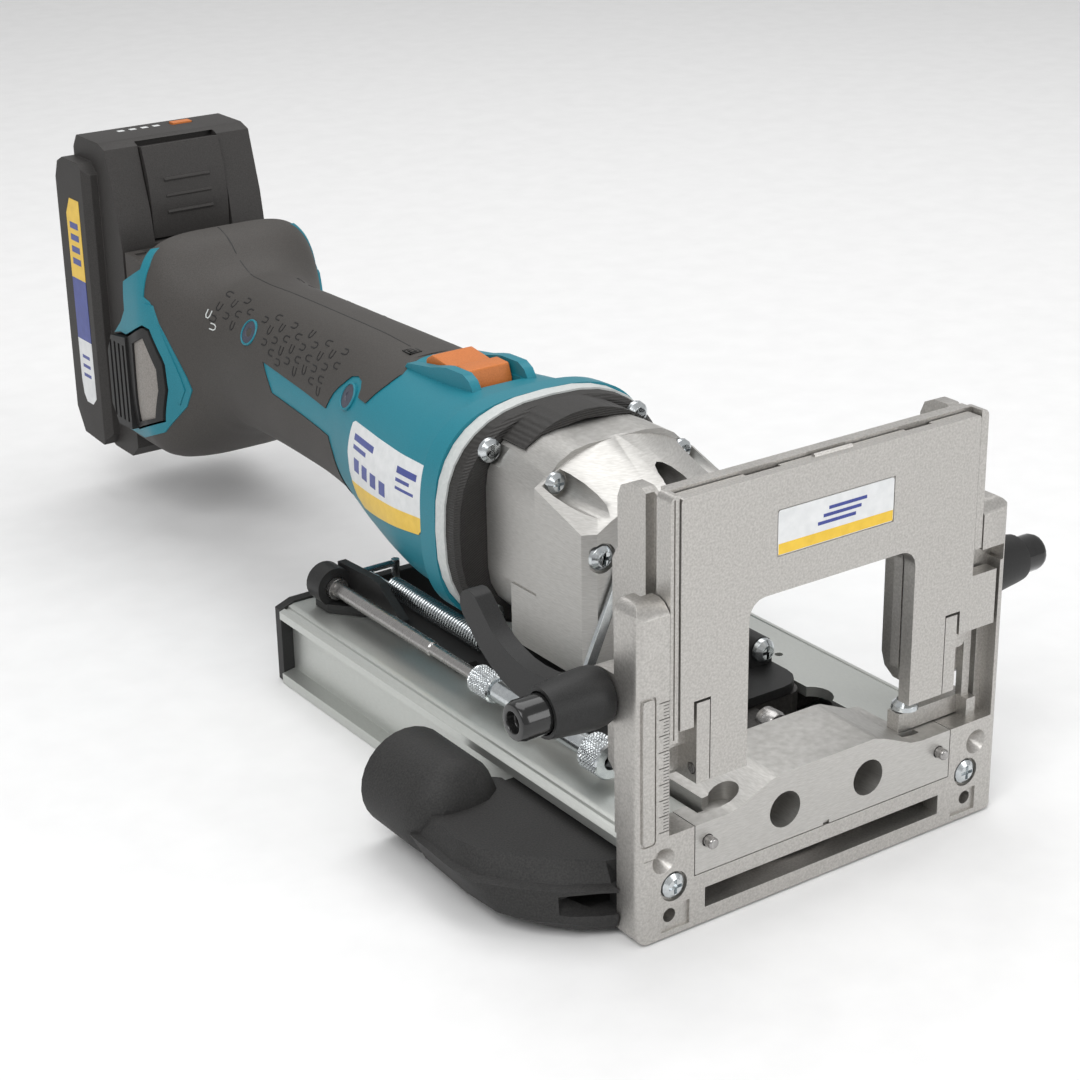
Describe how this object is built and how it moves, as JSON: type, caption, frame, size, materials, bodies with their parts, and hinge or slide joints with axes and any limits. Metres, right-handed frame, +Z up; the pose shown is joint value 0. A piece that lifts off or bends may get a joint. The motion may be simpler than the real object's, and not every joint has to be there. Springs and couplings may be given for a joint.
{
  "type": "biscuit joiner",
  "caption": "Cordless biscuit joiner: spring-returned motor unit slides on a channel base behind an upright tilting fence, driving a flat cutter out of the front slot.",
  "frame": {"origin": "on the underside of the base, below the cutter spindle, with the motor unit at rest", "axes": "+Z up from the base's underside, +Y from the cutting face towards the battery, +X to the right seen from the front"},
  "size_m": [0.1997, 0.4352, 0.1526],
  "materials": {
    "cast_aluminium": "fine blasted cast",
    "milled_aluminium": "milled, fine tool marks",
    "anodised_aluminium": "satin anodised",
    "steel": "turned",
    "zinc_steel": "zinc plated",
    "black_plastic": "fine grained",
    "gloss_black": "smooth",
    "grip_rubber": "soft grip",
    "belt_rubber": "toothed belt",
    "teal_plastic": "fine grained",
    "light_ring": "smooth",
    "orange_plastic": "fine grained",
    "battery_plastic": "fine grained",
    "label_film": "printed film",
    "copper_winding": "wound copper and steel laminations"
  },
  "bodies": {
    "base": {"base_channel": "anodised_aluminium", "rear_end_cap": "black_plastic", "front_frame": "cast_aluminium", "guide_block": "milled_aluminium", "block_pin_left": "steel", "block_pin_right": "steel", "frame_screw_left": "zinc_steel", "frame_screw_right": "zinc_steel", "fence_stop_screw": "zinc_steel", "dust_adapter": "black_plastic", "clamp_stud_left": "steel", "clamp_stud_right": "steel", "spring_post": "zinc_steel"},
    "motor_unit": {"slide_plate": "black_plastic", "boss_screw_left": "zinc_steel", "boss_screw_right": "zinc_steel", "belt_casting": "cast_aluminium", "drive_belt": "belt_rubber", "gearhead": "milled_aluminium", "gearhead_screw": "zinc_steel", "pocket_screw_left": "zinc_steel", "pocket_screw_middle": "zinc_steel", "pocket_screw_right": "zinc_steel", "front_strip": "zinc_steel", "flange_plate": "black_plastic", "flange_screw_upper_left": "zinc_steel", "flange_screw_upper_right": "zinc_steel", "flange_screw_lower_left": "zinc_steel", "flange_screw_lower_right": "zinc_steel", "trim_ring": "light_ring", "motor_housing": "teal_plastic", "handle_grip": "grip_rubber", "foot_vent_left": "black_plastic", "foot_vent_right": "black_plastic", "depth_rod": "steel", "gear_bearing": "steel", "motor_bearing": "steel", "motor_stator": "copper_winding", "rating_label": "label_film", "return_spring": "steel"},
    "clamp_left": {"clamp_lever_left": "black_plastic"},
    "clamp_right": {"clamp_lever_right": "black_plastic"},
    "button_left": {"clamp_button_left": "gloss_black"},
    "button_right": {"clamp_button_right": "gloss_black"},
    "carrier": {"fence_carrier": "cast_aluminium", "tilt_pin_left": "steel", "tilt_pin_right": "steel"},
    "flap": {"fence_flap": "cast_aluminium", "fence_label": "label_film"},
    "cutter": {"cutter_spindle": "steel", "cutter_blade": "steel", "cutter_nut": "steel"},
    "gear_shaft": {"bevel_wheel": "steel"},
    "armature": {"motor_armature": "copper_winding"},
    "switch": {"switch_slider": "orange_plastic"},
    "battery": {"battery_pack": "battery_plastic"},
    "latch": {"battery_latch": "battery_plastic"},
    "gauge": {"gauge_button": "orange_plastic"},
    "lock_nut": {"depth_lock_nut": "zinc_steel"},
    "thumb_nut": {"depth_thumb_nut": "zinc_steel"}
  },
  "joints": [
    {"name": "plunge", "type": "slide", "parent": "base", "child": "motor_unit", "axis": [0, -1, 0], "range_m": [0, 0.0245], "stiffness_N_per_m": 400, "springref_m": -0.02, "deforming": ["return_spring"]},
    {"name": "clamp_left_turn", "type": "hinge", "parent": "base", "child": "clamp_left", "pos_m": [-0.072, -0.0379, 0.0737], "axis": [1, 0, 0], "range_deg": [0, 75]},
    {"name": "clamp_right_turn", "type": "hinge", "parent": "base", "child": "clamp_right", "pos_m": [0.072, -0.0379, 0.0737], "axis": [1, 0, 0], "range_deg": [0, 75]},
    {"name": "button_left_press", "type": "slide", "parent": "clamp_left", "child": "button_left", "axis": [1, 0, 0], "range_m": [0, 0.0025], "stiffness_N_per_m": 400, "springref_m": -0.002},
    {"name": "button_right_press", "type": "slide", "parent": "clamp_right", "child": "button_right", "axis": [-1, 0, 0], "range_m": [0, 0.0025], "stiffness_N_per_m": 400, "springref_m": -0.002},
    {"name": "fence_height", "type": "slide", "parent": "base", "child": "carrier", "axis": [0, 0, 1], "range_m": [0, 0.0065]},
    {"name": "fence_tilt", "type": "hinge", "parent": "carrier", "child": "flap", "pos_m": [0, -0.0525, 0.0505], "axis": [1, 0, 0], "range_deg": [0, 90]},
    {"name": "armature_spin", "type": "hinge", "parent": "motor_unit", "child": "armature", "pos_m": [0, 0.1055, 0.0737], "axis": [0, 1, 0], "continuous": true},
    {"name": "gear_shaft_spin", "type": "hinge", "parent": "motor_unit", "child": "gear_shaft", "pos_m": [0, 0.0475, 0.04], "axis": [0, 0, 1], "continuous": true},
    {"name": "cutter_spin", "type": "hinge", "parent": "motor_unit", "child": "cutter", "pos_m": [0, 0, 0.01], "axis": [0, 0, 1], "continuous": true},
    {"name": "switch_slide", "type": "slide", "parent": "motor_unit", "child": "switch", "axis": [0, -1, 0], "range_m": [0, 0.004]},
    {"name": "battery_lift", "type": "slide", "parent": "motor_unit", "child": "battery", "axis": [0, 0, 1], "range_m": [0, 0.06]},
    {"name": "latch_press", "type": "slide", "parent": "battery", "child": "latch", "axis": [0, 1, 0], "range_m": [0, 0.002], "stiffness_N_per_m": 400, "springref_m": -0.002},
    {"name": "gauge_press", "type": "slide", "parent": "battery", "child": "gauge", "axis": [0, 0, -1], "range_m": [0, 0.0014], "stiffness_N_per_m": 300, "springref_m": -0.001},
    {"name": "lock_nut_turn", "type": "hinge", "parent": "motor_unit", "child": "lock_nut", "pos_m": [-0.05, 0.0475, 0.0374], "axis": [0, 1, 0], "continuous": true},
    {"name": "thumb_nut_turn", "type": "hinge", "parent": "motor_unit", "child": "thumb_nut", "pos_m": [-0.05, -0.0115, 0.0374], "axis": [0, 1, 0], "continuous": true}
  ],
  "couplings": [
    {"joint": "gear_shaft_spin", "follows": "armature_spin", "ratio": 0.51},
    {"joint": "cutter_spin", "follows": "armature_spin", "ratio": 0.51}
  ]
}
